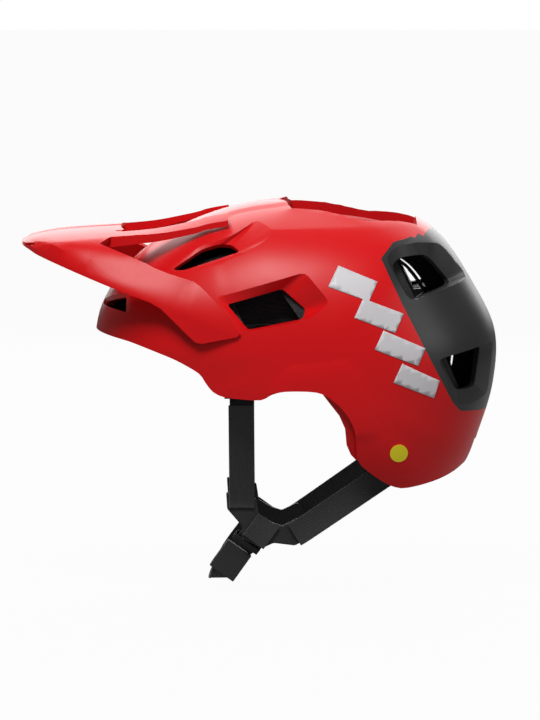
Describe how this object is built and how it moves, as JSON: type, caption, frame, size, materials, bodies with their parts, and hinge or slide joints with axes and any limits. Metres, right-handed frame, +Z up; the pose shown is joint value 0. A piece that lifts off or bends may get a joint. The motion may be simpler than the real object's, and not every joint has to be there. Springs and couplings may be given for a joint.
{
  "type": "open-face bike helmet with peak",
  "caption": "Open-face trail helmet with a breakaway peak, vents, a turning fit dial behind, and webbing straps joined by a magnetic buckle.",
  "frame": {"origin": "centre of the head opening on the ear line, halfway between the ears", "axes": "+Z up, -Y the wearer's front, +X the wearer's left"},
  "size_m": [0.2088, 0.3333, 0.2659],
  "materials": {
    "red_shell": "satin red polycarbonate",
    "red_trim": "matt red",
    "black_cover": "satin dark grey",
    "foam": "expanded foam",
    "slip": "low-friction sheet",
    "yellow": "matt",
    "black_plastic": "matt",
    "webbing": "woven",
    "pad": "brushed fabric over foam",
    "magnet": "plated"
  },
  "bodies": {
    "helmet": {"upper_shell": "red_shell", "lower_shell": "red_shell", "rear_cover": "black_cover", "foam_liner": "foam", "front_strap_anchor_left": "black_plastic", "front_strap_anchor_right": "black_plastic", "rear_strap_anchor_left": "black_plastic", "rear_strap_anchor_right": "black_plastic", "ear_trim_left": "red_trim", "ear_trim_right": "red_trim", "badge_left": "yellow", "badge_right": "yellow", "peak_stud_left": "black_plastic", "peak_stud_right": "black_plastic"},
    "peak_body": {"peak": "red_shell"},
    "liner": {"slip_liner": "slip", "fit_band": "black_plastic", "brow_pad": "pad", "crown_pad_middle": "pad", "crown_pad_left": "pad", "crown_pad_right": "pad", "temple_pad_left": "pad", "temple_pad_right": "pad", "height_rail": "black_plastic"},
    "cradle_body": {"cradle": "black_plastic", "cradle_pad": "pad", "gear_housing": "black_plastic", "gear_cover": "black_plastic"},
    "dial_body": {"dial": "black_plastic", "pinion": "black_plastic"},
    "rack_left": {"rack_band_left": "black_plastic"},
    "rack_right": {"rack_band_right": "black_plastic"},
    "left_straps": {"front_strap_left": "webbing", "rear_strap_left": "webbing", "strap_divider_left": "black_plastic", "lower_strap_left": "webbing", "buckle_receiver": "black_plastic", "receiver_magnet": "magnet"},
    "right_straps": {"front_strap_right": "webbing", "rear_strap_right": "webbing", "strap_divider_right": "black_plastic", "chin_strap": "webbing", "buckle_tongue": "black_plastic", "tongue_magnet": "magnet"},
    "keeper": {"strap_keeper": "black_plastic"}
  },
  "joints": [
    {"name": "peak_release", "type": "slide", "parent": "helmet", "child": "peak_body", "axis": [0, -1, 0], "range_m": [0, 0.04]},
    {"name": "liner_slip", "type": "hinge", "parent": "helmet", "child": "liner", "pos_m": [0, 0.005, 0], "axis": [0, 0, 1], "range_deg": [-2.5, 2.5], "stiffness_Nm_per_rad": 2},
    {"name": "cradle_height", "type": "slide", "parent": "liner", "child": "cradle_body", "axis": [0, 0, 1], "range_m": [0, 0.01]},
    {"name": "dial_turn", "type": "hinge", "parent": "cradle_body", "child": "dial_body", "pos_m": [0, 0.1, -0.029], "axis": [0, 1, 0], "range_deg": [0, 120]},
    {"name": "rack_left_slide", "type": "slide", "parent": "cradle_body", "child": "rack_left", "axis": [-1, 0, 0], "range_m": [0, 0.0105]},
    {"name": "rack_right_slide", "type": "slide", "parent": "cradle_body", "child": "rack_right", "axis": [1, 0, 0], "range_m": [0, 0.0105]},
    {"name": "left_strap_swing", "type": "hinge", "parent": "helmet", "child": "left_straps", "pos_m": [0.082, -0.034, 0.0035], "axis": [0.1642, -0.8573, 0.4879], "range_deg": [0, 50]},
    {"name": "right_strap_swing", "type": "hinge", "parent": "helmet", "child": "right_straps", "pos_m": [-0.082, -0.034, 0.0035], "axis": [0.1642, 0.8573, -0.4879], "range_deg": [0, 50]},
    {"name": "keeper_slide", "type": "slide", "parent": "left_straps", "child": "keeper", "axis": [-0.5547, -0.6428, -0.5283], "range_m": [0, 0.002]}
  ],
  "couplings": [
    {"joint": "rack_left_slide", "follows": "dial_turn", "m_per_rad": 0.005},
    {"joint": "rack_right_slide", "follows": "dial_turn", "m_per_rad": 0.005}
  ]
}
